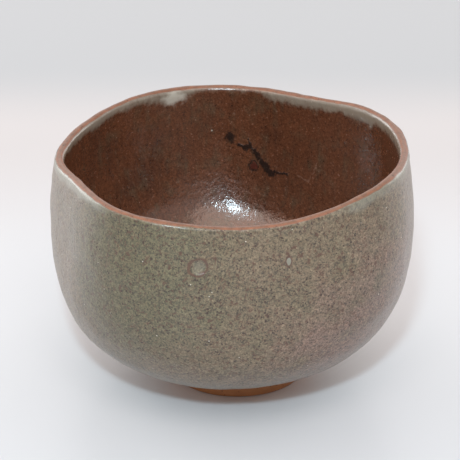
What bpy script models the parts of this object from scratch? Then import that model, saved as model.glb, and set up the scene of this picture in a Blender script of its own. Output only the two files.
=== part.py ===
"""Matcha bowl: a thrown stoneware tea bowl on a bare foot ring, with a glaze coat outside and one inside.

Every piece is first turned true on the wheel, as an outline spun round the vertical axis. The soft bowl is then
pressed out of round by hand, which moves the same points of every piece, so that the coats still fit the clay.
Metres, +Z up. The bowl stands on Z = 0 with its front towards -Y, and its origin is under the middle of its box.
"""

from math import atan2, cos, pi, radians, sin

import bmesh
import bpy
from mathutils import Vector

# Driving dimensions
HEIGHT = 0.0802  # mean height of the lip
BELLY_RADIUS = 0.0610
BELLY_HEIGHT = 0.058
LIP_RADIUS = 0.0590
LIP_THICKNESS = 0.0030
WALL_THICKNESS = 0.0042  # clay and both coats, at the belly
FLOOR_HEIGHT = 0.012  # top of the well floor
GLAZE = 0.0005
GAP = 0.0003  # left between two pieces that touch

FOOT_HEIGHT = 0.0052
FOOT_BASE_RADIUS = 0.0227
FOOT_TOP_RADIUS = 0.0238
FOOT_WIDTH = 0.0056
FOOT_BEVEL = 0.0007
FOOT_SHIFT = 0.0029  # the foot was set this far off centre, towards +X
RECESS_HEIGHT = 0.0066  # underside of the floor, inside the foot
NIPPLE = 0.0006  # the turned point left in the middle of the recess
NIPPLE_RADIUS = 0.0035
NIPPLE_TIP = 0.0014  # radius of the nipple's flat tip
SEAT_CHAMFER = 0.0015  # slope between the recess and the seat of the foot

# Below the belly, each face of the wall is a superellipse that comes down to its lowest point on the axis
OUTER_ROUNDNESS = 2.7  # 2 would be a plain ellipse, more is boxier
INNER_ROUNDNESS = 2.2
OUTER_BOTTOM = 0.0049
LIP_EASE = 1.6  # how late the wall turns in above the belly
NECK_START = 0.19  # share of the quarter turn where the outer face leaves the neck above the foot

BARE_LIP = 0.0018  # depth of clay left bare below the top of the lip
BARE_HEM = 0.0022  # height above the foot that is left bare

# Waves pressed into the wall by hand: lobes round the bowl, size, and the direction of a crest in degrees,
# counted from the front towards +X. The first set moves the wall out and in, the second lifts the lip.
PLAN_WAVES = ((2, 0.0030, 36), (3, 0.0017, -40), (4, 0.0004, -28), (5, 0.0014, -30))
LIP_WAVES = (
    (1, 0.0038, 108), (2, 0.0007, -71), (3, 0.0013, -48),
    (4, 0.0010, 43), (5, 0.0003, -15), (6, 0.0004, -12),
)
PRESS_START, PRESS_FULL = 0.15, 0.75  # shares of the height between which the wall's waves grow to full size

SEGMENTS = 60  # round the bowl
CURVE_STEPS = 10  # up each face to the belly
RISE_STEPS = 4  # from the belly to the lip
LIP_STEPS = 5  # over the lip
MERGE = 1e-6
SHARP = radians(40)  # edges that fold more than this stay crisp

# Base colour (linear), roughness
FINISHES = {
    "bare_clay": ((0.33, 0.14, 0.06, 1), 0.75),
    "foot_clay": ((0.36, 0.17, 0.08, 1), 0.75),
    "ash_glaze": ((0.20, 0.18, 0.13, 1), 0.40),
    "iron_glaze": ((0.07, 0.025, 0.013, 1), 0.22),
}


def smooth_step(low, high, value):
    share = min(1, max(0, (value - low) / (high - low)))
    return share * share * (3 - 2 * share)


def wall(half_width, bottom, lip_radius, start, roundness):
    """One face of the wall, as (radius, height), from the share start of a quarter turn up to under the lip."""
    points = []
    for step in range(CURVE_STEPS):
        angle = pi / 2 * (start + (1 - start) * step / CURVE_STEPS)
        fall = (BELLY_HEIGHT - bottom) * cos(angle) ** (2 / roundness)
        points.append((half_width * sin(angle) ** (2 / roundness), BELLY_HEIGHT - fall))
    rise = HEIGHT - LIP_THICKNESS / 2 - BELLY_HEIGHT
    for step in range(RISE_STEPS + 1):
        share = step / RISE_STEPS
        points.append((half_width - (half_width - lip_radius) * share**LIP_EASE, BELLY_HEIGHT + rise * share))
    return points


def offset(points, distance):
    """The line moved sideways: to its left, going along it, where distance is positive."""
    moved = []
    for i, (r, z) in enumerate(points):
        before, after = points[max(i - 1, 0)], points[min(i + 1, len(points) - 1)]
        along = Vector((after[0] - before[0], after[1] - before[1])).normalized()
        moved.append((max(0.0, r - along.y * distance), z + along.x * distance))
    return moved


def between(points, low, high):
    """The part of a rising line between two heights, cut exactly at both."""
    cut = []
    for (r0, z0), (r1, z1) in zip(points, points[1:]):
        for height in (low, high):
            if z0 < height < z1:
                share = (height - z0) / (z1 - z0)
                cut.append((r0 + share * (r1 - r0), height))
    return sorted(cut + [p for p in points if low <= p[1] <= high], key=lambda p: p[1])


def outer_face(inset=0.0):
    """The outside of the finished bowl, or a line that far inside it."""
    return offset(wall(BELLY_RADIUS, OUTER_BOTTOM, LIP_RADIUS, NECK_START, OUTER_ROUNDNESS), inset)


def inner_face(inset=0.0):
    """The inside of the finished bowl, or a line that far into the wall, from the axis up."""
    half_width, lip_radius = BELLY_RADIUS - WALL_THICKNESS, LIP_RADIUS - LIP_THICKNESS
    points = wall(half_width, FLOOR_HEIGHT, lip_radius, 0.0, INNER_ROUNDNESS)
    return [(0.0, FLOOR_HEIGHT - inset)] + offset(points, -inset)[1:]


def lip_arc():
    """The round top of the lip, from its outside over to its inside."""
    middle, half = LIP_RADIUS - LIP_THICKNESS / 2, LIP_THICKNESS / 2
    turn = [pi * step / LIP_STEPS for step in range(1, LIP_STEPS)]
    return [(middle + half * cos(a), HEIGHT - half + half * sin(a)) for a in turn]


def wave(waves, angle):
    return sum(size * cos(lobes * (angle - radians(crest))) for lobes, size, crest in waves)


def pressed(point):
    """Where a point of the true, turned bowl goes when the bowl is pressed by hand and its foot is set off centre."""
    angle = atan2(point.x, -point.y)
    share = point.z / HEIGHT
    radius = point.xy.length + wave(PLAN_WAVES, angle) * smooth_step(PRESS_START, PRESS_FULL, share)
    lift = wave(LIP_WAVES, angle) * max(0, 2 * share - 1) ** 2
    shift = FOOT_SHIFT * (1 - smooth_step(RECESS_HEIGHT, FLOOR_HEIGHT, point.z))
    return Vector((radius * sin(angle) + shift, -radius * cos(angle), point.z + lift))


def finish(name):
    """One plain material."""
    material = bpy.data.materials.new(name)
    material.use_nodes = True
    shader = material.node_tree.nodes["Principled BSDF"]
    colour, roughness = FINISHES[name]
    shader.inputs["Base Color"].default_value = colour
    shader.inputs["Roughness"].default_value = roughness
    return material


def turned(name, outline, finish_name):
    """A piece thrown on the wheel: its closed outline of (radius, height) points, spun round Z and then pressed."""
    mesh = bmesh.new()
    corners = [mesh.verts.new((0, -r, z)) for r, z in outline]
    for a, b in zip(corners, corners[1:]):
        mesh.edges.new((a, b))
    if outline[0][0] > 0:
        mesh.edges.new((corners[-1], corners[0]))
    ring = mesh.verts[:] + mesh.edges[:]
    bmesh.ops.spin(
        mesh, geom=ring, cent=(0, 0, 0), axis=(0, 0, 1), angle=2 * pi, steps=SEGMENTS, use_merge=True
    )
    bmesh.ops.remove_doubles(mesh, verts=mesh.verts, dist=MERGE)
    for vertex in mesh.verts:
        vertex.co = pressed(vertex.co)
    bmesh.ops.recalc_face_normals(mesh, faces=mesh.faces)
    data = bpy.data.meshes.new(name)
    mesh.to_mesh(data)
    mesh.free()
    data.shade_smooth()
    data.set_sharp_from_angle(angle=SHARP)
    data.materials.append(finish(finish_name))
    piece = bpy.data.objects.new(name, data)
    bpy.context.scene.collection.objects.link(piece)
    return piece


def clay_body():
    """The thrown clay: bare at the lip and above the foot, and stepped back by one coat and its gap elsewhere."""
    step = GLAZE + GAP
    hem, rim = FOOT_HEIGHT + BARE_HEM, HEIGHT - BARE_LIP
    seat_inner = FOOT_TOP_RADIUS - FOOT_WIDTH
    outline = [(0.0, RECESS_HEIGHT - NIPPLE), (NIPPLE_TIP, RECESS_HEIGHT - NIPPLE)]
    outline += [(NIPPLE_RADIUS, RECESS_HEIGHT), (seat_inner - SEAT_CHAMFER, RECESS_HEIGHT)]
    outline += [(seat_inner, FOOT_HEIGHT), (FOOT_TOP_RADIUS, FOOT_HEIGHT)]
    outline += between(outer_face(), 0, hem)
    outline += between(outer_face(step), hem, rim)
    outline += between(outer_face(), rim, HEIGHT)
    outline += lip_arc()
    outline += reversed(between(inner_face(), rim, HEIGHT))
    outline += reversed(between(inner_face(step), 0, rim))
    return turned("clay_body", outline, "bare_clay")


def outer_glaze():
    """The ash glaze outside: a skin from just above the foot up to just under the lip."""
    low, high = FOOT_HEIGHT + BARE_HEM + GAP, HEIGHT - BARE_LIP - GAP
    outline = between(outer_face(), low, high) + list(reversed(between(outer_face(GLAZE), low, high)))
    return turned("outer_glaze", outline, "ash_glaze")


def inner_glaze():
    """The iron glaze inside: a skin over the floor and wall of the well, up to just under the lip."""
    high = HEIGHT - BARE_LIP - GAP
    outline = between(inner_face(GLAZE), 0, high) + list(reversed(between(inner_face(), 0, high)))
    return turned("inner_glaze", outline, "iron_glaze")


def foot_ring():
    """The foot: a ring of bare clay, luted under the body and turned to a flat base with broken edges."""
    top = FOOT_HEIGHT - GAP
    base_inner, top_inner = FOOT_BASE_RADIUS - FOOT_WIDTH, FOOT_TOP_RADIUS - FOOT_WIDTH
    corner = FOOT_BEVEL * 0.3  # how far the middle of a bevel stays from the sharp corner
    outline = [
        (base_inner + FOOT_BEVEL, 0.0),
        (FOOT_BASE_RADIUS - FOOT_BEVEL, 0.0),
        (FOOT_BASE_RADIUS - corner, corner),
        (FOOT_BASE_RADIUS, FOOT_BEVEL),
        (FOOT_TOP_RADIUS, top),
        (top_inner, top),
        (base_inner, FOOT_BEVEL),
        (base_inner + corner, corner),
    ]
    return turned("foot_ring", outline, "foot_clay")


def centre(pieces):
    """Moves the bowl so that the middle of its box stands over the origin."""
    points = [v.co for piece in pieces for v in piece.data.vertices]
    middle = [(min(p[k] for p in points) + max(p[k] for p in points)) / 2 for k in (0, 1)]
    for piece in pieces:
        for vertex in piece.data.vertices:
            vertex.co -= Vector((*middle, 0))
    print(f"centred by {middle[0] * 1000:.2f}, {middle[1] * 1000:.2f} mm")


def main():
    for leftover in list(bpy.data.objects):
        bpy.data.objects.remove(leftover)
    centre([clay_body(), foot_ring(), outer_glaze(), inner_glaze()])


main()
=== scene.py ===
"""Tea bowl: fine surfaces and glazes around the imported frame, as an add-on with one operator per piece.

Every piece is turned true as an outline round the upright axis, gets its hand-made unevenness along its own
normals, and is then pressed out of round in the same way as the frame. Lengths are in metres and +Z is up.
Directions round the bowl are in degrees from its front, which is -Y, towards +X.
"""

from math import cos, pi, radians, sin

import bmesh
import bpy
import numpy as np
from bpy.props import FloatProperty, FloatVectorProperty, PointerProperty
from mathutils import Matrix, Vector, noise


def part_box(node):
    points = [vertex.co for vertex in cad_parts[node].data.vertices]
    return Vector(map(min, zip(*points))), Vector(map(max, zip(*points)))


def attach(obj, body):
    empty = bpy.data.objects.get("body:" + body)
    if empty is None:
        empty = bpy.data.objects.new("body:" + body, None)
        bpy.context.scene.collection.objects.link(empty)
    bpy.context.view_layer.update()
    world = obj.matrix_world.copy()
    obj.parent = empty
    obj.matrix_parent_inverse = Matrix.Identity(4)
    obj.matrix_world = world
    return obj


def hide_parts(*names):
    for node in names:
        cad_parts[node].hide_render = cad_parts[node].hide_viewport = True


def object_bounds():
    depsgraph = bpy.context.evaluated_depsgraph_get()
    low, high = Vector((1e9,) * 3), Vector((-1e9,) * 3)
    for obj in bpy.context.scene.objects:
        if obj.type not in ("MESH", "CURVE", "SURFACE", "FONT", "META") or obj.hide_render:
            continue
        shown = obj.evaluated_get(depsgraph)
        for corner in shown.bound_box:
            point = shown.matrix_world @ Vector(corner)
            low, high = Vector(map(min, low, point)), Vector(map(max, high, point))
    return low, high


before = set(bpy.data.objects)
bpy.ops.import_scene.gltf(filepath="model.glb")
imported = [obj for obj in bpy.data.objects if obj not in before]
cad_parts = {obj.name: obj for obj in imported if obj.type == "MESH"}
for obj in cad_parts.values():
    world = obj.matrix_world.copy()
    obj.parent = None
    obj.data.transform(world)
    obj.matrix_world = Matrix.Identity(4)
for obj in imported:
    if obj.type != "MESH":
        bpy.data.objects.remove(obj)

bl_info = {
    "name": "Tea Bowl",
    "version": (1, 0, 0),
    "blender": (4, 5, 0),
    "location": "View3D > Sidebar > Tea Bowl",
    "description": "Builds a hand-pressed, glazed tea bowl on a foot ring, with its stage",
    "category": "Object",
}

CAD_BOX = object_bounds()
MM = 0.001

# Waves pressed into the wall by hand: lobes round the bowl, size in millimetres, and direction of a crest.
# The first set moves the wall out and in, the second lifts the lip.
PLAN_WAVES = ((2, 3.0, 36), (3, 1.7, -40), (4, 0.4, -28), (5, 1.4, -30))
LIP_WAVES = ((1, 3.8, 108), (2, 0.7, -71), (3, 1.3, -48), (4, 1.0, 43), (5, 0.3, -15), (6, 0.4, -12))
PRESS_START, PRESS_FULL = 0.15, 0.75  # shares of the height between which the wall's waves grow to full size

OUTER_ROUNDNESS, INNER_ROUNDNESS = 2.7, 2.2  # of the superellipses below the belly: 2 is a plain ellipse
LIP_EASE = 1.6  # how late the wall turns in above the belly
NECK_START = 0.19  # share of the quarter turn where the outer face leaves the neck

# How fine the meshes are
ROUND_GLAZE, ROUND_CLAY, ROUND_FOOT = 512, 384, 320  # points round the bowl
GLAZE_SPACING = 0.66 * MM  # between the rows of a glaze
CLAY_SPACING = 1.2 * GLAZE_SPACING
HIDDEN_SPACING = 4 * MM
LIP_DETAIL = 0.42  # rows at the lip are closer together by this share
LIP_NEAR, LIP_FAR = 3 * MM, 12 * MM  # from the top of the lip, where that ends and the throwing rings begin
CURVE_POINTS, RISE_POINTS, LIP_POINTS = 240, 60, 60  # worked out along the shape, before it is cut into rows
UNDER_POINTS, FOOT_POINTS = 50, 56  # along the outlines of the body's underside and the foot

# Where the coats end: distances along the surface from the top of the lip, or from the neck
ASH_TOP = 1.05 * MM
ASH_HEM = 2.6 * MM
IRON_TOP = 1.15 * MM
EDGE_SPARE = 1.0 * MM  # a coat goes on this far past its edge, under the clay
EDGE_LOW, EDGE_HIGH = -0.3 * MM, 0.35 * MM  # a coat's full height is reached between these, past its edge
HEM_HIGH = 0.8 * MM  # the same above the hem, where the edge is softer
BED_LOW, BED_HIGH = 0.7 * MM, 1.6 * MM  # the clay sinks under a coat between these, past the coat's edge
BED_SPARE = 0.06 * MM  # the sunk clay lies this far below a coat's hidden side
COAT_RISE, COAT_DROP = 0.06, 0.36  # a coat stands out by this, and falls by that at its edge, in millimetres
THIN_LOW = 0.1 * MM  # clay shows through a coat up to here, past its edge, and fades out up to these
ASH_THIN_HIGH, IRON_THIN_HIGH = 0.8 * MM, 1.0 * MM

# Where a coat gathered: by how much, how far from its edge, and over what half width, in millimetres
ASH_ROLL = (0.16, 1.7, 1.1)
ASH_BEAD = (0.30, 1.5, 1.1)
IRON_ROLL = (0.18, 2.2, 1.5)

# The turned point in the middle of the recess, and the slope at the recess's edge
NIPPLE_TIP, NIPPLE_FOOT = 1.4 * MM, 3.5 * MM
SEAT_SLOPE = 1.5 * MM
FOOT_BEDDED = 0.25 * MM  # the foot goes this far up into the body
FOOT_FLAT, FOOT_UNEVEN = 0.2 * MM, 1.2 * MM  # heights between which the foot's unevenness grows
NECK_CLEAR = 3 * MM  # hand marks grow over this distance above the neck

# Rings that the fingers left inside: height, half width, and how far they stand out, in millimetres
WELL_RING = (50, 10, 1.0)
WELL_GROOVE = (37, 4.5, -0.25)
SPIRAL_DEPTH, SPIRAL_PITCH = 0.10, 6.5 * MM  # on the floor of the well
SPIRAL_START, SPIRAL_END = (2 * MM, 8 * MM), (32 * MM, 46 * MM)  # radii between which it comes and goes
POOL_DEPTH, POOL_EDGE = 0.45, (13 * MM, 20 * MM)
THUMB_RIM, THUMB_DEPTH = 0.12, 0.35
TURNING_DEPTH, TURNING_PITCH = 0.10 * MM, 2.6 * MM  # in the recess

# Layers of smooth lumps: how far they stand out or wander, how broad they are, in millimetres, and their seed
SOFT_LUMPS = ((0.40, 26, 3), (0.16, 9, 11))
THROWING_RINGS = ((0.20, 6, 23),)
LIP_DENTS = ((0.16, 5, 31),)
CLAY_GRIT = ((0.04, 1.3, 91),)
FOOT_LUMPS = ((0.22, 7, 13), (0.05, 1.6, 17))
FOOT_RINGS = ((0.10, 1.1, 19),)
ASH_EDGE = ((0.35, 14, 41), (0.25, 3.5, 46))
HEM_EDGE = ((1.2, 14, 81), (0.3, 3.5, 86))
IRON_EDGE = ((0.40, 14, 61), (0.25, 3.5, 66))
BEAD_SWELLS = ((0.8, 12, 71),)
ASH_PEEL, IRON_PEEL = ((0.05, 2.4, 73),), ((0.05, 2.2, 77),)
THROWN_STRETCH, FOOT_STRETCH = 7, 6  # rings are this many times longer round the bowl than up it

# How strong the pale glaze gathered under the lip is, by direction
PALE_OUTSIDE = (
    (-180, 0.4), (-110, 0.5), (-85, 0.8), (-65, 1.0), (-50, 0.9), (-36, 0.3), (0, 0.15),
    (28, 0.2), (42, 0.7), (60, 0.55), (90, 0.5), (135, 0.6), (180, 0.4),
)
PALE_INSIDE = (
    (-180, 0.22), (-172, 0.4), (-161, 1.0), (-150, 0.75), (-125, 1.0), (-100, 0.7), (-60, 0.5), (0, 0.4),
    (60, 0.5), (95, 0.9), (115, 1.0), (138, 1.0), (160, 0.85), (172, 0.3), (180, 0.22),
)

# The runs of that pale glaze: the shortest, how much longer they are where it is strong and how much they
# wander, in millimetres, then the share of their length that is at full strength
ASH_RUNS = (2.0, 3.4, 2.4, 0.3)
IRON_RUNS = (2.2, 3.6, 3.0, 0.25)

# Marks outside: direction, height in millimetres, and half sizes across and up
THUMB_MARK = (-9, 65.5, 3.5, 3.0)
GLAZE_PIT = (18.1, 66.6, 0.9, 1.5)
GREEN_SIDE, ROSE_SIDE = (-30, 60), (50, 30)  # where the ash glaze is greenest and reddest

# Marks inside: direction and height in millimetres, and a half width. The melted iron is a spot, a line that
# trickled down from it, and a short line that branches off.
MILKY_PATCH = (-161, 77.0)
IRON_SPOT = (179.5, 61.6, 1.8)
IRON_RUN = (
    (176.4, 59.1, 0.4), (174.2, 58.2, 1.1), (172.3, 58.8, 1.3), (169.4, 56.0, 0.9),
    (167.2, 53.4, 1.1), (163.9, 50.4, 1.3), (161.8, 51.3, 0.4), (156.9, 51.7, 0.6),
)
IRON_TWIG = ((172.4, 58.8, 0.5), (172.9, 61.4, 0.3))
RED_BLOTCH = (170.8, 52.2, 1.8)
PALE_ARC = ((151.4, 52.4), (146.7, 51.1), (142.8, 58.1))

# Lights: diameter, direction, elevation, distance, tint, and the kind of ray that doesn't meet it, if any.
# Overhead and sheen stand for one soft light, and front and glint for another: the first of each only shines
# on things, and the second is only seen in them.
LIGHTS = {
    "overhead": (0.75, 2, 47, 1.0, (1.0, 0.94, 0.91), "glossy"),
    "sheen": (1.70, -46, 60, 1.1, (1.0, 0.78, 0.65), "diffuse"),
    "front": (0.07, -3, 36.5, 0.90, (0.66, 0.88, 1.0), "glossy"),
    "glint": (0.07, -20, 34, 0.90, (0.66, 0.88, 1.0), "diffuse"),
    "left": (0.90, -124, 15, 1.0, (1, 1, 1), None),
    "right": (0.90, 127, 15, 1.0, (1, 1, 1), None),
    "back": (1.60, 180, 28, 1.6, (1, 1, 1), None),
}
SKY_TINT = (1.0, 0.91, 0.88, 1)
FLOOR_HALF = 3.0
# The floor's tint shift is painted light and shade: warmer just behind the bowl, darker far behind.
MIDDLE_FADE, FAR_FADE = (0.08, 0.21), (0.225, 0.31)  # metres behind the bowl where the floor's tint shifts


def length(name, description, default):
    """A size, shown with its unit."""
    return FloatProperty(name=name, description=description, default=default, unit="LENGTH", precision=4)


def power(name, description, default):
    return FloatProperty(name=name, description=description, default=default, unit="POWER")


def colour(name, description, default):
    return FloatVectorProperty(
        name=name, description=description, default=(*default, 1), size=4, min=0, max=1, subtype="COLOR"
    )


class BowlShape(bpy.types.PropertyGroup):
    """The sizes that the bowl is turned to."""

    height: length("Height", "Mean height of the lip", 0.0802)
    belly_radius: length("Belly radius", "Radius of the outside at its widest", 0.0610)
    belly_height: length("Belly height", "Height of the widest place", 0.058)
    lip_radius: length("Lip radius", "Radius of the outside just under the lip", 0.0590)
    lip_thickness: length("Lip thickness", "Thickness of the round lip", 0.0030)
    wall: length("Wall", "Thickness of the wall at the belly", 0.0042)
    outer_bottom: length("Outer bottom", "Height where the outer curve would meet the axis", 0.0049)
    floor: length("Floor", "Height of the floor of the well", 0.012)
    glaze: length("Glaze", "Thickness of each coat of glaze", 0.0005)
    foot_height: length("Foot height", "Height of the foot ring", 0.0052)
    foot_base_radius: length("Foot base radius", "Outer radius of the foot ring where it stands", 0.0227)
    foot_top_radius: length("Foot top radius", "Outer radius of the foot ring under the body", 0.0238)
    foot_width: length("Foot width", "Width of the foot ring's wall", 0.0056)
    foot_bevel: length("Foot bevel", "Width of the broken edges of the foot ring", 0.0007)
    foot_shift: length("Foot shift", "How far off centre the foot was set, towards +X", 0.0029)
    recess: length("Recess", "Height of the floor's underside, inside the foot", 0.0066)
    nipple: length("Nipple", "Height of the turned point in the middle of the recess", 0.0006)


class BowlFinish(bpy.types.PropertyGroup):
    """The colours of clay and glazes."""

    ash_green: colour("Ash green", "Outer glaze where it is thick", (0.095, 0.082, 0.045))
    ash_grey: colour("Ash grey", "Outer glaze where it is even", (0.134, 0.098, 0.061))
    ash_rose: colour("Ash rose", "Outer glaze where the clay shows through", (0.165, 0.105, 0.077))
    ash_pale: colour("Ash pale", "Pale glaze gathered under the lip", (0.245, 0.232, 0.180))
    speck: colour("Speck", "Iron specks that melt through the glaze", (0.036, 0.016, 0.010))
    # This colour also serves as painted shade at the top of the foot, under the body.
    dash: colour("Dash", "Short cracks where the clay shows", (0.090, 0.035, 0.020))
    # This colour is also painted on the outer glaze as glints, standing in for highlights.
    glint: colour("Glint", "Grains of pale sand", (0.72, 0.66, 0.56))
    iron_brown: colour("Iron brown", "Inner glaze", (0.112, 0.038, 0.017))
    iron_dark: colour("Iron dark", "Inner glaze where it is thin and burnt", (0.068, 0.024, 0.012))
    iron_olive: colour("Iron olive", "Inner glaze where ash settled on it", (0.095, 0.060, 0.034))
    iron_black: colour("Iron black", "Runs of melted iron", (0.010, 0.006, 0.005))
    iron_red: colour("Iron red", "Red blotch beside the iron runs", (0.070, 0.013, 0.009))
    iron_veil: colour("Iron veil", "Ash gathered on the inner glaze under the lip", (0.285, 0.240, 0.185))
    iron_fleck: colour("Iron fleck", "Fine light flecks in the inner glaze", (0.240, 0.125, 0.085))
    rust: colour("Rust", "Bare clay beside the ridge of the lip", (0.240, 0.089, 0.045))
    tan: colour("Tan", "Clay on the ridge of the lip, and under thin glaze", (0.212, 0.109, 0.071))
    foot_clay: colour("Foot clay", "Bare clay of the foot", (0.400, 0.165, 0.055))


class BowlStage(bpy.types.PropertyGroup):
    """Camera, lights and floor."""

    distance: length("Distance", "From the camera to its target", 0.759)
    elevation: FloatProperty(
        name="Elevation", description="Camera above level", default=radians(23.42), subtype="ANGLE"
    )
    target_height: length("Target height", "Height that the camera looks at, over the bowl's axis", 0.0512)
    lens: FloatProperty(name="Lens", description="Focal length", default=177.4, unit="CAMERA")
    overhead: power("Overhead", "Power of the soft light above and in front", 3.4)
    sheen: power("Sheen", "Power of the wide light above that shows only as a reflection", 14.0)
    front: power("Front", "Power of the small light above the camera", 4.5)
    glint: power("Glint", "Power of the small light that shows only as a reflection", 4.2)
    left: power("Left", "Power of the soft light on the left", 6.0)
    back: power("Back", "Power of the large soft light behind", 5.5)
    right: power("Right", "Power of the soft light on the right", 4.2)
    sky: FloatProperty(name="Sky", description="Strength of the light from all round", default=0.57)
    floor_near: colour("Floor near", "Floor in front of and around the bowl", (0.667, 0.667, 0.682))
    # Painted light and shade: the floor is warmer just behind the bowl and darker far behind.
    floor_middle: colour("Floor middle", "Floor behind the bowl", (0.600, 0.573, 0.573))
    floor_far: colour("Floor far", "Floor far behind", (0.463, 0.479, 0.496))


# Shader nodes


class Socket:
    """One output of a node. Arithmetic on it adds Math nodes, so shader maths reads as an expression."""

    def __init__(self, finish, output):
        self.finish = finish
        self.output = output

    def maths(self, operation, *values):
        return self.finish.node("ShaderNodeMath", {"operation": operation}, values)

    def __add__(self, other):
        return self.maths("ADD", self, other)

    def __radd__(self, other):
        return self.maths("ADD", other, self)

    def __sub__(self, other):
        return self.maths("SUBTRACT", self, other)

    def __rsub__(self, other):
        return self.maths("SUBTRACT", other, self)

    def __mul__(self, other):
        return self.maths("MULTIPLY", self, other)

    def __rmul__(self, other):
        return self.maths("MULTIPLY", other, self)

    def __truediv__(self, other):
        return self.maths("DIVIDE", self, other)

    def __rtruediv__(self, other):
        return self.maths("DIVIDE", other, self)

    def __abs__(self):
        return self.maths("ABSOLUTE", self)


class Finish:
    """A material being made. Places on it are in metres, in the bowl's own frame."""

    def __init__(self, name):
        self.material = bpy.data.materials.new(name)
        self.material.use_nodes = True
        self.tree = self.material.node_tree
        self.shader = self.tree.nodes["Principled BSDF"]
        self.place = self.node("ShaderNodeTexCoord", output="Object")

    def node(self, kind, settings=None, inputs=(), output=0):
        """Adds a node: settings first, then the values or links of its sockets, by place or by name."""
        made = self.tree.nodes.new(kind)
        for name, value in (settings or {}).items():
            setattr(made, name, value)
        pairs = inputs.items() if isinstance(inputs, dict) else enumerate(inputs)
        for key, value in pairs:
            if isinstance(value, Socket):
                self.tree.links.new(value.output, made.inputs[key])
            else:
                made.inputs[key].default_value = value
        return Socket(self, made.outputs[output])

    def noise(self, size, detail=2, roughness=0.5, place=None, output=0):
        """Smooth noise from 0 to 1, with lumps of about that size."""
        inputs = {"Vector": place or self.place, "Scale": 1 / size, "Detail": detail, "Roughness": roughness}
        return self.node("ShaderNodeTexNoise", None, inputs, output)

    def cells(self, size, output="Distance", place=None):
        """Scattered points, one to a cell of that size: the distance to the nearest, or its own colour."""
        inputs = {"Vector": place or self.place, "Scale": 1 / size}
        return self.node("ShaderNodeTexVoronoi", None, inputs, output)

    def fade(self, value, start, end):
        """0 at start and 1 at end, smoothly."""
        inputs = {"Value": value, "From Min": start, "From Max": end}
        return self.node("ShaderNodeMapRange", {"interpolation_type": "SMOOTHSTEP"}, inputs)

    def mix(self, first, second, share, blend="MIX"):
        """A colour from first to second."""
        settings = {"data_type": "RGBA", "blend_type": blend}
        return self.node("ShaderNodeMix", settings, {0: share, 6: first, 7: second}, 2)

    def shade(self, tint, factor):
        """The colour made lighter or darker by a factor."""
        return self.mix(tint, factor, 1.0, "MULTIPLY")

    def vector(self, operation, first, second, output=0):
        return self.node("ShaderNodeVectorMath", {"operation": operation}, (first, second), output)

    def stretched(self, along_x, along_y, along_z):
        """The place, drawn out so that a pattern made on it is longer along each axis by that number."""
        return self.vector("DIVIDE", self.place, (along_x, along_y, along_z))

    def ruffled(self, size, amount):
        """The place, pushed about by noise, so that what is drawn on it gets an uneven outline."""
        push = self.vector("SUBTRACT", self.noise(size, output="Color"), (0.5, 0.5, 0.5))
        return self.vector("ADD", self.place, self.vector("MULTIPLY", push, (amount, amount, amount)))

    def distance(self, point, place=None, squeeze=(1, 1, 1)):
        """Metres to a point, or fewer along an axis whose squeeze is above 1."""
        away = self.vector("SUBTRACT", place or self.place, tuple(point))
        return self.vector("LENGTH", self.vector("DIVIDE", away, squeeze), (0, 0, 0), "Value")

    def distance_to_line(self, start, end, place=None):
        """Metres to the straight line between two points."""
        run = end - start
        away = self.vector("SUBTRACT", place or self.place, tuple(start))
        share = self.vector("DOT_PRODUCT", away, tuple(run / run.length_squared), "Value")
        held = self.node("ShaderNodeClamp", None, (share, 0.0, 1.0))
        inputs = {"Vector": tuple(run), "Scale": held}
        nearest = self.node("ShaderNodeVectorMath", {"operation": "SCALE"}, inputs)
        return self.vector("DISTANCE", away, nearest, "Value")

    def attribute(self, name):
        """A number that the mesh carries."""
        return self.node("ShaderNodeAttribute", {"attribute_name": name}, (), "Fac")

    def relief(self, height, depth, under=None):
        """A normal bent by a height from 0 to 1, which stands for that many metres."""
        inputs = {"Height": height, "Distance": depth}
        if under is not None:
            inputs["Normal"] = under
        return self.node("ShaderNodeBump", None, inputs)

    def done(self, **sockets):
        """Sets or links sockets of the shader, with _ for a space in their names, and gives the material."""
        for name, value in sockets.items():
            socket = self.shader.inputs[name.replace("_", " ")]
            if isinstance(value, Socket):
                self.tree.links.new(value.output, socket)
            else:
                socket.default_value = value
        return self.material


# The pressed shape


def smooth_step(low, high, value):
    share = np.clip((value - low) / (high - low), 0, 1)
    return share * share * (3 - 2 * share)


def hump(value, middle, half_width):
    """1 at the middle, falling away smoothly on both sides."""
    return np.exp(-(((value - middle) / half_width) ** 2))


def wave(waves, angle):
    return sum(size * MM * np.cos(lobes * (angle - radians(crest))) for lobes, size, crest in waves)


def foot_centre():
    """Middle of the foot ring's box."""
    low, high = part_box("foot_ring")
    return (low + high) / 2


def pressed(shape, angle, radius, height):
    """Where points of the true, turned bowl go when it is pressed by hand and its foot is set off centre."""
    share = height / shape.height
    radius = radius + wave(PLAN_WAVES, angle) * smooth_step(PRESS_START, PRESS_FULL, share) * (radius > 0)
    lift = wave(LIP_WAVES, angle) * np.clip(2 * share - 1, 0, None) ** 2
    foot = foot_centre()
    across = foot.x - shape.foot_shift * smooth_step(shape.recess, shape.floor, height)
    return np.stack((radius * np.sin(angle) + across, foot.y - radius * np.cos(angle), height + lift), -1)


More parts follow.
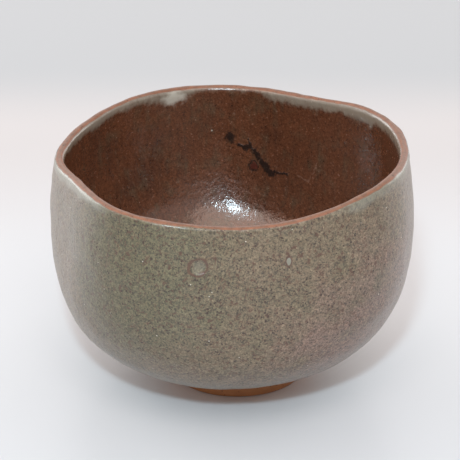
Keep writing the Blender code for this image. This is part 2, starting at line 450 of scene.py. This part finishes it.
def wall_face(shape, inside, start=0.0):
    """One finished face of the wall, as (radius, height), from low down up to where the round lip begins."""
    half_width = shape.belly_radius - (shape.wall if inside else 0)
    bottom = shape.floor if inside else shape.outer_bottom
    lip_radius = shape.lip_radius - (shape.lip_thickness if inside else 0)
    turn = pi / 2 * np.linspace(start, 1, CURVE_POINTS)
    bend = 2 / (INNER_ROUNDNESS if inside else OUTER_ROUNDNESS)
    drop = (shape.belly_height - bottom) * np.clip(np.cos(turn), 0, 1) ** bend
    curve = np.column_stack((half_width * np.sin(turn) ** bend, shape.belly_height - drop))
    share = np.linspace(0, 1, RISE_POINTS)[1:]
    rise = shape.height - shape.lip_thickness / 2 - shape.belly_height
    narrowing = (half_width - lip_radius) * share**LIP_EASE
    upper = np.column_stack((half_width - narrowing, shape.belly_height + rise * share))
    return np.concatenate((curve, upper))


def run_along(line):
    """Distance along a line of (radius, height), from its start to each of its points."""
    return np.concatenate(([0], np.cumsum(np.hypot(*np.diff(line, axis=0).T))))


def finished_face(shape):
    """The bowl's finished surface, up the outside from the neck, over the lip and down inside to the axis.

    Columns are radius, height and run: the distance along it from the top of the lip, negative outside.
    """
    middle, half = shape.lip_radius - shape.lip_thickness / 2, shape.lip_thickness / 2
    turn = np.linspace(0, pi, LIP_POINTS)[1:-1]
    lip = np.column_stack((middle + half * np.cos(turn), shape.height - half + half * np.sin(turn)))
    line = np.concatenate((wall_face(shape, False, NECK_START), lip, wall_face(shape, True)[::-1]))
    run = run_along(line)
    return np.column_stack((line, run - run[np.argmax(line[:, 1])]))


def spread(outline, count):
    """That many points, evenly apart, along an outline of corners, without the last corner."""
    outline = np.array(outline)
    step = run_along(outline)
    at = np.linspace(0, step[-1], count)[:-1]
    return np.column_stack([np.interp(at, step, column) for column in outline.T])


def at_height(face, height, inside=False):
    """Radius, height and run of the face at a height, outside or inside."""
    half = face[face[:, 2] > 0][::-1] if inside else face[face[:, 2] < 0]
    return [np.interp(height, half[:, 1], column) for column in half.T]


def well_rings(shape, run):
    """How far the inside stands out in a broad ring that the fingers left, over a narrow groove."""
    face, out = finished_face(shape), 0
    for height, half_width, size in (WELL_RING, WELL_GROOVE):
        out = out + size * MM * hump(run, at_height(face, height * MM, True)[2], half_width * MM)
    return out


def place_on(shape, direction, height, inside=False):
    """The place on the pressed surface in a direction, at a height in millimetres of the true bowl."""
    radius, height, run = at_height(finished_face(shape), height * MM, inside)
    if inside:
        radius -= well_rings(shape, run)
    return Vector(pressed(shape, radians(direction), radius, height))


def cut(face, start, end, spacing):
    """The face from one run to another, with points that far apart, and closer together at the lip."""
    fine = np.linspace(start, end, 4000)
    wanted = spacing * (LIP_DETAIL + (1 - LIP_DETAIL) * smooth_step(LIP_NEAR, LIP_FAR, np.abs(fine)))
    count = np.concatenate(([0], np.cumsum(np.diff(fine) / wanted[1:])))
    run = np.interp(np.linspace(0, count[-1], max(2, round(count[-1])) + 1), count, fine)
    return np.column_stack([np.interp(run, face[:, 2], column) for column in face.T])


def normals(line, closed):
    """Unit normals to the right of a line of (radius, height), which is the side away from the material."""
    along = np.roll(line, -1, 0) - np.roll(line, 1, 0) if closed else np.gradient(line, axis=0)
    along /= np.maximum(np.hypot(*along.T), 1e-12)[:, None]
    return np.column_stack((along[:, 1], -along[:, 0]))


def section(rows, side):
    """Rows with a last column: 1 on the side that shows, -1 on the side that is bedded in another piece."""
    return np.column_stack((rows, np.full(len(rows), float(side))))


def bedded_side(face, start, end, depth):
    """The hidden side of a coat, that deep under the face, run through backwards."""
    rows = cut(face, start, end, HIDDEN_SPACING)
    rows[:, :2] -= depth * normals(rows[:, :2], False)
    rows[rows[:, 0] < 0.01 * MM, 0] = 0
    return section(rows[::-1], -1)


def wander(angle, radius, height, size, seed):
    """Smooth noise, from about -1 to 1, with lumps of that size."""
    x, y, z = radius * np.sin(angle) / size + seed, -radius * np.cos(angle) / size, height / size
    values = [noise.noise(place) for place in zip(x.ravel(), y.ravel(), z.ravel())]
    return np.array(values).reshape(x.shape)


def lumps(layers, angle, radius, height):
    """Layers of smooth lumps added up, in millimetres."""
    return sum(size * wander(angle, radius, height, breadth * MM, seed) for size, breadth, seed in layers)


def turned(name, shape, rows, segments, relief, attributes=None):
    """A closed piece: rows turned round the axis, roughened by relief, and then pressed.

    Rows are radius, height, run and side, with the material on their left. They start and end on the axis, or
    close on themselves. relief(angle, radius, height, run, side) is how far the surface stands out.
    """
    on_axis = rows[0, 0] == 0
    radius, height, run, side = (column[:, None] + np.zeros(segments) for column in rows.T)
    angle = np.linspace(-pi, pi, segments, endpoint=False) + 0 * radius
    out = normals(rows[:, :2], not on_axis)
    stand = relief(angle, radius, height, run, side)
    grid = pressed(shape, angle, radius + out[:, :1] * stand, height + out[:, 1:] * stand)
    index = np.arange(radius.size).reshape(radius.shape)
    if on_axis:
        index[0], index[-1] = index[0, 0], index[-1, 0]
        below, above = index[:-1], index[1:]
    else:
        below, above = index, np.roll(index, -1, 0)
    quads = np.stack((below, np.roll(below, -1, 1), np.roll(above, -1, 1), above), -1)
    kept, numbers = np.unique(quads, return_inverse=True)
    faces = [tuple(dict.fromkeys(quad)) for quad in numbers.reshape(-1, 4).tolist()]
    mesh = bpy.data.meshes.new(name)
    mesh.from_pydata(grid.reshape(-1, 3)[kept].tolist(), [], faces)
    for label, values in (attributes(angle, radius, height, run) if attributes else {}).items():
        layer = mesh.attributes.new(label, "FLOAT", "POINT")
        layer.data.foreach_set("value", values.ravel()[kept].astype(np.float32))
    work = bmesh.new()
    work.from_mesh(mesh)
    bmesh.ops.recalc_face_normals(work, faces=work.faces)
    work.to_mesh(mesh)
    work.free()
    mesh.shade_smooth()
    piece = bpy.data.objects.new(name, mesh)
    bpy.context.scene.collection.objects.link(piece)
    return piece


def settle(piece, material, node):
    """Gives a piece its material and its place in the frame."""
    piece.data.materials.append(material)
    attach(piece, "root")
    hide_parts(node)


# The unevenness that clay and glaze share


def oval(angle, radius, run, direction, middle, half_width, half_height):
    """0 in the middle of an oval mark on the surface, and 1 on its outline."""
    turn = (angle - radians(direction) + pi) % (2 * pi) - pi
    return np.hypot(radius * turn / half_width, (run - middle) / half_height)


def thumb_oval(shape, angle, radius, run):
    direction, height, half_width, half_height = THUMB_MARK
    middle = at_height(finished_face(shape), height * MM)[2]
    return oval(angle, radius, run, direction, middle, half_width * MM, half_height * MM)


def hand_marks(shape, angle, radius, height, run):
    """Soft lumps, rings left by the fingers on the wheel, a thumb mark outside, and a pool for tea inside."""
    place = angle, radius, height
    soft = lumps(SOFT_LUMPS, *place) + lumps(LIP_DENTS, *place) * hump(run, 0, 4 * MM)
    rings = lumps(THROWING_RINGS, angle, radius / THROWN_STRETCH, height)
    rings = rings * smooth_step(LIP_NEAR, LIP_FAR, np.abs(run))
    in_well = (run > 0) * (height < 0.5 * shape.height)
    on_floor = in_well * smooth_step(*SPIRAL_START, radius) * (1 - smooth_step(*SPIRAL_END, radius))
    spiral = SPIRAL_DEPTH * np.cos(2 * pi * radius / SPIRAL_PITCH + angle) * on_floor
    pool = -POOL_DEPTH * in_well * (1 - smooth_step(*POOL_EDGE, radius))
    thumb = thumb_oval(shape, angle, radius, run)
    dimple = THUMB_RIM * hump(thumb, 1.15, 0.16) - THUMB_DEPTH * (1 - smooth_step(0.5, 1.0, thumb))
    return (soft + rings + spiral + pool + dimple) * MM + well_rings(shape, run)


def below_ash_top(shape, angle, run):
    """Distance down from the edge of the outer glaze at the lip."""
    return -run - ASH_TOP - MM * lumps(ASH_EDGE, angle, shape.lip_radius + 0 * angle, 0 * angle)


def below_iron_top(shape, angle, run):
    """Distance down from the edge of the inner glaze at the lip."""
    return run - IRON_TOP - MM * lumps(IRON_EDGE, angle, shape.lip_radius + 0 * angle, 0 * angle)


def above_ash_hem(shape, angle, up_from_neck):
    """Distance up from the edge of the outer glaze above the foot."""
    return up_from_neck - ASH_HEM - MM * lumps(HEM_EDGE, angle, shape.foot_top_radius + 0 * angle, 0 * angle)


def thicker(band, from_edge):
    """How much a coat is thicker in a band along its edge, in millimetres."""
    size, middle, half_width = band
    return size * hump(from_edge, middle * MM, half_width * MM)


def gathered_pale(angle, radius, below_top, table, runs, seed):
    """How pale a glaze is where it gathered under the lip in runs, by a table of strengths."""
    strength = by_direction(table, angle)
    least, longer, wandering, full = runs
    reach = least + longer * strength + wandering * wander(angle, radius, 0 * angle, 7 * MM, seed)
    return strength * (1 - smooth_step(full, 1.0, below_top / (reach * MM)))


def by_direction(table, angle):
    """A value read from a table of (direction, value)."""
    directions, values = np.array(table).T
    return np.interp(np.degrees(angle), directions, values)


# Pieces


def build_clay_body(shape):
    """The thrown clay: it shows at the lip, above the foot and underneath, and is coated elsewhere."""
    face = finished_face(shape)
    neck = face[0, 2]
    seat = shape.foot_top_radius - shape.foot_width
    outline = [
        (0, shape.recess - shape.nipple),
        (NIPPLE_TIP, shape.recess - shape.nipple),
        (NIPPLE_FOOT, shape.recess),
        (seat - SEAT_SLOPE, shape.recess),
        (seat, shape.foot_height),
        (shape.foot_top_radius, shape.foot_height),
        (face[0, 0], face[0, 1]),
    ]
    under = spread(outline, UNDER_POINTS)
    under = np.column_stack((under, np.full(len(under), neck), np.zeros(len(under))))
    rows = np.concatenate((under, section(cut(face, neck, face[-1, 2], CLAY_SPACING), 1)))

    def relief(angle, radius, height, run, side):
        outer = smooth_step(BED_LOW, BED_HIGH, below_ash_top(shape, angle, run))
        outer = outer * smooth_step(BED_LOW, BED_HIGH, above_ash_hem(shape, angle, run - neck))
        inner = smooth_step(BED_LOW, BED_HIGH, below_iron_top(shape, angle, run))
        grit = MM * lumps(CLAY_GRIT, angle, radius, height)
        in_recess = (side == 0) * (height > shape.recess - 0.1 * MM)
        turning = TURNING_DEPTH * np.cos(2 * pi * radius / TURNING_PITCH + angle) * in_recess
        marks = hand_marks(shape, angle, radius, height, run) * smooth_step(0, NECK_CLEAR, run - neck)
        return (marks + grit) * side + turning - (shape.glaze + BED_SPARE) * (outer + inner)

    def attributes(angle, radius, height, run):
        return {"run": run / MM}

    return turned("clay_body_fine", shape, rows, ROUND_CLAY, relief, attributes)


def build_foot_ring(shape):
    """The foot: a turned ring of bare clay, set a little into the body so that no gap shows."""
    top = shape.foot_height + FOOT_BEDDED
    bevel, base, crown = shape.foot_bevel, shape.foot_base_radius, shape.foot_top_radius
    corner = bevel * (1 - cos(pi / 4))
    outline = [
        (base - shape.foot_width + bevel, 0),
        (base - bevel, 0),
        (base - corner, corner),
        (base, bevel),
        (crown, top),
        (crown - shape.foot_width, top),
        (base - shape.foot_width, bevel),
        (base - shape.foot_width + corner, corner),
    ]
    points = spread(outline + outline[:1], FOOT_POINTS)
    rows = section(np.column_stack((points, np.zeros(len(points)))), 1)

    def relief(angle, radius, height, run, side):
        rings = lumps(FOOT_RINGS, angle, radius / FOOT_STRETCH, height)
        uneven = lumps(FOOT_LUMPS, angle, radius, height) + rings
        return uneven * MM * smooth_step(FOOT_FLAT, FOOT_UNEVEN, height)

    return turned("foot_ring_fine", shape, rows, ROUND_FOOT, relief)


def build_outer_glaze(shape):
    """The ash glaze outside: it rolls over at the lip, and ends above the foot in a bead."""
    face = finished_face(shape)
    neck = face[0, 2]
    low, high = neck + ASH_HEM - EDGE_SPARE, EDGE_SPARE - ASH_TOP
    shown = section(cut(face, low, high, GLAZE_SPACING), 1)
    rows = np.concatenate((shown, bedded_side(face, low, high, shape.glaze)))

    def relief(angle, radius, height, run, side):
        below_top = below_ash_top(shape, angle, run)
        above_hem = above_ash_hem(shape, angle, run - neck)
        whole = smooth_step(EDGE_LOW, EDGE_HIGH, below_top) * smooth_step(EDGE_LOW, HEM_HIGH, above_hem)
        gathered = 0.6 + lumps(BEAD_SWELLS, angle, radius, 0 * height)
        roll, bead = thicker(ASH_ROLL, below_top), thicker(ASH_BEAD, above_hem) * gathered
        peel = lumps(ASH_PEEL, angle, radius, height)
        coat = (COAT_RISE - COAT_DROP * (1 - whole) + roll + bead + peel) * MM
        return hand_marks(shape, angle, radius, height, run) * side + coat * (side > 0)

    def attributes(angle, radius, height, run):
        below_top = below_ash_top(shape, angle, run)
        pale = gathered_pale(angle, radius, below_top, PALE_OUTSIDE, ASH_RUNS, 75)
        return {"pale": pale, "thin": 1 - smooth_step(THIN_LOW, ASH_THIN_HIGH, below_top)}

    return turned("outer_glaze_fine", shape, rows, ROUND_GLAZE, relief, attributes)


def build_inner_glaze(shape):
    """The iron glaze inside: over the floor of the well and up the wall, rolled at the lip."""
    face = finished_face(shape)
    start, end = IRON_TOP - EDGE_SPARE, face[-1, 2]
    shown = section(cut(face, start, end, GLAZE_SPACING), 1)
    rows = np.concatenate((bedded_side(face, start, end, shape.glaze), shown))

    def relief(angle, radius, height, run, side):
        below_top = below_iron_top(shape, angle, run)
        whole = smooth_step(EDGE_LOW, EDGE_HIGH, below_top)
        roll = thicker(IRON_ROLL, below_top)
        peel = lumps(IRON_PEEL, angle, radius, height)
        coat = (COAT_RISE - COAT_DROP * (1 - whole) + roll + peel) * MM
        return hand_marks(shape, angle, radius, height, run) * side + coat * (side > 0)

    def attributes(angle, radius, height, run):
        below_top = below_iron_top(shape, angle, run)
        pale = gathered_pale(angle, radius, below_top, PALE_INSIDE, IRON_RUNS, 79)
        return {"pale": pale, "thin": 1 - smooth_step(THIN_LOW, IRON_THIN_HIGH, below_top)}

    return turned("inner_glaze_fine", shape, rows, ROUND_GLAZE, relief, attributes)


# Finishes


def ash_glaze(shape, colours):
    """Satin ash glaze: grey-green to rose-grey, sandy, with iron specks, short cracks and painted glints."""
    ash = Finish("ash_glaze")
    pale, thin = ash.attribute("pale"), ash.attribute("thin")
    broad, middling, small = ash.noise(26 * MM, 3), ash.noise(8 * MM, 3, 0.6), ash.noise(2.2 * MM, 2)
    grain, sand = ash.noise(1.25 * MM, 3, 0.75), ash.noise(0.62 * MM, 2, 0.8)
    green_side = 1 - ash.fade(ash.distance(place_on(shape, *GREEN_SIDE)), 10 * MM, 50 * MM)
    rose_side = 1 - ash.fade(ash.distance(place_on(shape, *ROSE_SIDE)), 10 * MM, 62 * MM)
    greenness = ash.fade(broad * 0.5 + middling * 0.5 + green_side * 0.45, 0.45, 0.95)
    rosiness = ash.fade(middling * -0.5 + broad * -0.4 + rose_side * 0.5, -0.35, 0.10)
    tint = ash.mix(ash.mix(colours.ash_grey, colours.ash_rose, rosiness), colours.ash_green, greenness)
    mottling = ash.noise(1.5 * MM, 3, 0.7, ash.stretched(1.5, 1.5, 1))
    tint = ash.mix(tint, colours.dash, ash.fade(mottling, 0.50, 0.72) * 0.36)
    level = 1.20 + 2.4 * (grain - 0.5) + 0.8 * (small - 0.5) + 4.2 * (sand - 0.5)
    tint = ash.shade(tint, level.maths("MAXIMUM", level, 0.3))

    crack = 1 - ash.fade(abs(ash.noise(2.0 * MM, 1) - 0.5), 0.02, 0.055)
    crack = crack * ash.fade(ash.noise(1.7 * MM, 1), 0.50, 0.58)
    pushed = ash.ruffled(0.9 * MM, 0.9 * MM)
    size = ash.cells(1.15 * MM, "Color", pushed) * 0.50 - 0.12
    specks = 1 - ash.fade(ash.cells(1.15 * MM, place=pushed), size - 0.04, size + 0.04)
    # Pale sand grains, partly painted glints standing in for highlights on the glaze's bumps.
    grains_and_painted_glints = 1 - ash.fade(ash.cells(5.5 * MM), 0.025, 0.05)
    tint = ash.mix(tint, colours.dash, crack * 0.75)
    tint = ash.mix(tint, colours.speck, specks * 0.95)
    tint = ash.mix(tint, colours.ash_pale, ash.fade(pale + (small - 0.5) * 0.5, 0.1, 0.9) * 0.8)
    tint = ash.mix(tint, colours.tan, ash.fade(thin + (small - 0.5) * 0.8, 0.45, 0.85) * 0.8)
    tint = ash.mix(tint, colours.glint, grains_and_painted_glints * 0.8)

    direction, height, half_width, half_height = THUMB_MARK
    middle, squeeze = place_on(shape, direction, height), (half_width, 3, half_height)
    thumb = ash.distance(middle, ash.ruffled(3 * MM, 2.2 * MM), squeeze)
    ring = 1 - ash.fade(abs(thumb - 0.88 * MM), 0.05 * MM, 0.20 * MM)
    pooled = 1 - ash.fade(thumb, 0.35 * MM, 0.75 * MM)
    tint = ash.mix(tint, colours.dash, ring * 0.8)
    tint = ash.mix(tint, colours.ash_pale, pooled * 0.25)
    direction, height, half_width, half_height = GLAZE_PIT
    middle, squeeze = place_on(shape, direction, height), (half_width, 2, half_height)
    pit = ash.distance(middle, ash.ruffled(2 * MM, 0.7 * MM), squeeze)
    tint = ash.mix(tint, colours.dash, (1 - ash.fade(pit, 1.1 * MM, 1.6 * MM)) * 0.75)
    tint = ash.mix(tint, colours.ash_pale, (1 - ash.fade(pit, 0.7 * MM, 0.95 * MM)) * 0.9)

    bumps = ash.relief(small, 0.10 * MM)
    bumps = ash.relief(grain + sand * 0.35 - specks * 0.4 - crack * 0.4, 0.08 * MM, bumps)
    roughness = 0.40 + (grain - 0.5) * 0.25 - pale * 0.10 - thin * 0.16 + specks * 0.1
    return ash.done(Base_Color=tint, Roughness=roughness, Normal=bumps, Coat_Weight=0.5, Coat_Roughness=0.3)


def iron_glaze(shape, colours):
    """Glossy red-brown iron glaze, with fine light flecks, upright streaks and black runs of iron."""
    iron = Finish("iron_glaze")
    pale, thin = iron.attribute("pale"), iron.attribute("thin")
    broad, middling, small = iron.noise(22 * MM, 3), iron.noise(7 * MM, 3, 0.6), iron.noise(1.6 * MM, 2)
    streaks = iron.noise(2.2 * MM, 3, 0.6, iron.stretched(1, 1, 7))
    grain, sand = iron.noise(0.80 * MM, 3, 0.65), iron.noise(0.50 * MM, 2, 0.8)
    burnt = iron.fade(broad * 0.6 + streaks * 0.5, 0.45, 0.80)
    tint = iron.mix(colours.iron_brown, colours.iron_dark, burnt)
    tint = iron.mix(tint, colours.iron_olive, iron.fade(middling + streaks * 0.5, 0.72, 1.05) * 0.6)
    tint = iron.shade(tint, 1 + 1.2 * (grain - 0.5) + 0.7 * (small - 0.5) + 1.6 * (sand - 0.5))
    flecks = 1 - iron.fade(iron.cells(1.15 * MM), 0.10, 0.24)
    flecks = flecks * iron.fade(iron.cells(1.15 * MM, "Color"), 0.52, 0.66)
    grit = 1 - iron.fade(iron.cells(9 * MM), 0.028, 0.055)
    tint = iron.mix(tint, colours.iron_fleck, flecks * 0.45)

    rough_place = iron.ruffled(1.2 * MM, 2.2 * MM)
    direction, height, half = IRON_SPOT
    spot = iron.distance(place_on(shape, direction, height, True), rough_place) / (half * MM)
    for (near, low, wide), (far, high, narrow) in (*zip(IRON_RUN, IRON_RUN[1:]), IRON_TWIG):
        start, end = place_on(shape, near, low, True), place_on(shape, far, high, True)
        half = (wide + narrow) / 2 * MM
        spot = spot.maths("MINIMUM", spot, iron.distance_to_line(start, end, rough_place) / half)
    black = 1 - iron.fade(spot + (small - 0.5) * 1.4, 0.45, 1.50)
    direction, height, half = RED_BLOTCH
    blotch = iron.distance(place_on(shape, direction, height, True), rough_place)
    inside = 1 - iron.fade(blotch, 0.6 * half * MM, 1.1 * half * MM)
    outline = 1 - iron.fade(abs(blotch - half * MM), 0.1 * MM, 0.5 * MM)
    tint = iron.mix(tint, colours.iron_red, inside * 0.8)
    tint = iron.mix(tint, colours.iron_black, outline * 0.7)
    off_arc = 1.0
    for near, far in zip(PALE_ARC, PALE_ARC[1:]):
        line = iron.distance_to_line(place_on(shape, *near, True), place_on(shape, *far, True), rough_place)
        off_arc = iron.fade(line, 0.1 * MM, 0.5 * MM) * off_arc
    tint = iron.mix(tint, colours.iron_fleck, (1 - off_arc) * 0.55)
    tint = iron.mix(tint, colours.iron_black, black * 0.92)

    away = iron.distance(place_on(shape, *MILKY_PATCH, True), iron.ruffled(2.4 * MM, 4.5 * MM), (1.7, 1.7, 1))
    milky = 1 - iron.fade(away, 1.0 * MM, 3.4 * MM)
    veil = iron.fade(pale + (small - 0.5) * 0.8 + (streaks - 0.5) * 0.8, 0.10, 0.90)
    tint = iron.mix(tint, colours.iron_veil, veil * 0.75)
    tint = iron.mix(tint, colours.glint, milky * 0.55)
    tint = iron.mix(tint, colours.tan, iron.fade(thin + (small - 0.5) * 0.8, 0.5, 0.9) * 0.7)
    tint = iron.mix(tint, colours.glint, grit * 0.6)

    bumps = iron.relief(small + middling * 0.8, 0.09 * MM)
    bumps = iron.relief(grain + black * 1.5 + flecks * 0.3, 0.05 * MM, bumps)
    roughness = 0.22 + (grain - 0.5) * 0.2 + (small - 0.5) * 0.12
    return iron.done(Base_Color=tint, Roughness=roughness, Normal=bumps, IOR=1.6, Specular_IOR_Level=0.75)


def bare_clay(colours):
    """The body's clay where it shows: tan on the ridge of the lip, rust beside it, and orange below."""
    clay = Finish("bare_clay")
    run = clay.attribute("run")
    small, grain, along = clay.noise(1.8 * MM, 3, 0.6), clay.noise(0.4 * MM, 2), clay.noise(6 * MM, 2)
    beside = clay.fade(abs(run) + (small - 0.5) * 0.9 + (along - 0.5) * 0.8, 0.30, 0.95)
    tint = clay.mix(colours.tan, colours.rust, beside * 0.85)
    tint = clay.mix(tint, colours.foot_clay, clay.fade(abs(run), 5.0, 9.0))
    tint = clay.shade(tint, 1 + 0.7 * (grain - 0.5) + 1.1 * (small - 0.5))
    tint = clay.mix(tint, colours.speck, (1 - clay.fade(clay.cells(2.1 * MM), 0.10, 0.18)) * 0.6)
    bumps = clay.relief(small + grain * 0.5, 0.06 * MM)
    return clay.done(Base_Color=tint, Roughness=0.50 + (grain - 0.5) * 0.3, Normal=bumps)


def foot_clay(colours):
    """The foot's bare clay: orange-brown with dark specks, and a painted shade at its top, under the body."""
    clay = Finish("foot_clay")
    height = clay.node("ShaderNodeSeparateXYZ", None, (clay.place,), "Z")
    small, grain, broad = clay.noise(1.7 * MM, 3, 0.6), clay.noise(0.35 * MM, 2), clay.noise(11 * MM, 2)
    # Painted shade: the top of the foot is darkened where it meets the body.
    painted_shade_under_body = clay.fade(height + (small - 0.5) * (1.2 * MM), 3.2 * MM, 5.6 * MM)
    tint = clay.mix(colours.foot_clay, colours.rust, broad * 0.6)
    tint = clay.mix(tint, colours.dash, painted_shade_under_body * 0.45)
    tint = clay.shade(tint, 0.66 + 0.34 * grain + 0.34 * small)
    tint = clay.mix(tint, colours.speck, (1 - clay.fade(clay.cells(1.9 * MM), 0.09, 0.17)) * 0.75)
    bumps = clay.relief(small + grain * 0.6, 0.09 * MM)
    return clay.done(Base_Color=tint, Roughness=0.72 + (grain - 0.5) * 0.2, Normal=bumps)


def floor_finish(stage):
    """A plain pale floor with a soft sheen, with painted light and shade: warmer just behind the bowl, and
    darker far behind.
    """
    floor = Finish("floor")
    depth = floor.node("ShaderNodeSeparateXYZ", None, (floor.place,), "Y")
    tint = floor.mix(stage.floor_near, stage.floor_middle, floor.fade(depth, *MIDDLE_FADE))
    tint = floor.mix(tint, stage.floor_far, floor.fade(depth, *FAR_FADE))
    return floor.done(Base_Color=tint, Roughness=0.30, Specular_IOR_Level=0.25)


# Operators


class BOWL_OT_clay_body(bpy.types.Operator):
    """Throws the clay body"""

    bl_idname = "bowl.clay_body"
    bl_label = "Clay body"

    def execute(self, context):
        piece = build_clay_body(context.scene.bowl_shape)
        settle(piece, bare_clay(context.scene.bowl_finish), "clay_body")
        return {"FINISHED"}


class BOWL_OT_foot_ring(bpy.types.Operator):
    """Turns the foot ring"""

    bl_idname = "bowl.foot_ring"
    bl_label = "Foot ring"

    def execute(self, context):
        piece = build_foot_ring(context.scene.bowl_shape)
        settle(piece, foot_clay(context.scene.bowl_finish), "foot_ring")
        return {"FINISHED"}


class BOWL_OT_outer_glaze(bpy.types.Operator):
    """Coats the outside with ash glaze"""

    bl_idname = "bowl.outer_glaze"
    bl_label = "Outer glaze"

    def execute(self, context):
        shape, colours = context.scene.bowl_shape, context.scene.bowl_finish
        settle(build_outer_glaze(shape), ash_glaze(shape, colours), "outer_glaze")
        return {"FINISHED"}


class BOWL_OT_inner_glaze(bpy.types.Operator):
    """Coats the inside with iron glaze"""

    bl_idname = "bowl.inner_glaze"
    bl_label = "Inner glaze"

    def execute(self, context):
        shape, colours = context.scene.bowl_shape, context.scene.bowl_finish
        settle(build_inner_glaze(shape), iron_glaze(shape, colours), "inner_glaze")
        return {"FINISHED"}


def soft_light(name, watts, aim):
    """A round light that faces the aim, by its row of LIGHTS."""
    size, direction, elevation, distance, tint, unmet = LIGHTS[name]
    data = bpy.data.lights.new(name, "AREA")
    data.shape = "DISK"
    data.size = size
    data.energy = watts
    data.color = tint
    light = bpy.data.objects.new(name, data)
    turn, rise = radians(direction), radians(elevation)
    away = Vector((sin(turn) * cos(rise), -cos(turn) * cos(rise), sin(rise)))
    light.location = aim + away * distance
    light.rotation_euler = away.to_track_quat("Z", "Y").to_euler()
    light.visible_camera = False
    light.visible_glossy = unmet != "glossy"
    light.visible_diffuse = unmet != "diffuse"
    bpy.context.scene.collection.objects.link(light)


def build_floor(stage):
    """A wide plain square under the bowl."""
    mesh = bpy.data.meshes.new("floor")
    corners = [(x * FLOOR_HALF, y * FLOOR_HALF, 0) for x, y in ((-1, -1), (1, -1), (1, 1), (-1, 1))]
    mesh.from_pydata(corners, [], [(0, 1, 2, 3)])
    mesh.materials.append(floor_finish(stage))
    floor = bpy.data.objects.new("floor", mesh)
    bpy.context.scene.collection.objects.link(floor)
    return floor


def place_camera(stage, aim):
    """Looks at the aim from in front and above."""
    data = bpy.data.cameras.new("camera")
    data.lens = stage.lens
    data.clip_start = 0.01
    camera = bpy.data.objects.new("camera", data)
    away = Vector((0, -cos(stage.elevation), sin(stage.elevation)))
    camera.location = aim + away * stage.distance
    camera.rotation_euler = (pi / 2 - stage.elevation, 0, 0)
    bpy.context.scene.collection.objects.link(camera)
    bpy.context.scene.camera = camera


class BOWL_OT_stage(bpy.types.Operator):
    """Sets up the floor, the lights and the camera"""

    bl_idname = "bowl.stage"
    bl_label = "Stage"

    def execute(self, context):
        stage, scene = context.scene.bowl_stage, context.scene
        floor = build_floor(stage)
        low, high = CAD_BOX
        aim = Vector(((low.x + high.x) / 2, foot_centre().y, stage.target_height))
        for name in LIGHTS:
            soft_light(name, getattr(stage, name), aim)
        world = bpy.data.worlds.new("studio")
        world.use_nodes = True
        sky = world.node_tree.nodes["Background"]
        sky.inputs["Color"].default_value = SKY_TINT
        sky.inputs["Strength"].default_value = stage.sky
        scene.world = world
        place_camera(stage, aim)
        scene.view_settings.view_transform = "Standard"
        return {"FINISHED"}


PIECES = (BOWL_OT_clay_body, BOWL_OT_foot_ring, BOWL_OT_outer_glaze, BOWL_OT_inner_glaze, BOWL_OT_stage)


class BOWL_PT_panel(bpy.types.Panel):
    """The operators, in the order in which they are run"""

    bl_label = "Tea Bowl"
    bl_idname = "BOWL_PT_panel"
    bl_space_type = "VIEW_3D"
    bl_region_type = "UI"
    bl_category = "Tea Bowl"

    def draw(self, context):
        for piece in PIECES:
            self.layout.operator(piece.bl_idname)


CLASSES = (BowlShape, BowlFinish, BowlStage, *PIECES, BOWL_PT_panel)


def register():
    for item in CLASSES:
        bpy.utils.register_class(item)
    bpy.types.Scene.bowl_shape = PointerProperty(type=BowlShape)
    bpy.types.Scene.bowl_finish = PointerProperty(type=BowlFinish)
    bpy.types.Scene.bowl_stage = PointerProperty(type=BowlStage)


def unregister():
    del bpy.types.Scene.bowl_stage
    del bpy.types.Scene.bowl_finish
    del bpy.types.Scene.bowl_shape
    for item in reversed(CLASSES):
        bpy.utils.unregister_class(item)


def main():
    register()
    bpy.ops.bowl.clay_body()
    bpy.ops.bowl.foot_ring()
    bpy.ops.bowl.outer_glaze()
    bpy.ops.bowl.inner_glaze()
    bpy.ops.bowl.stage()


if __name__ == "__main__":
    main()
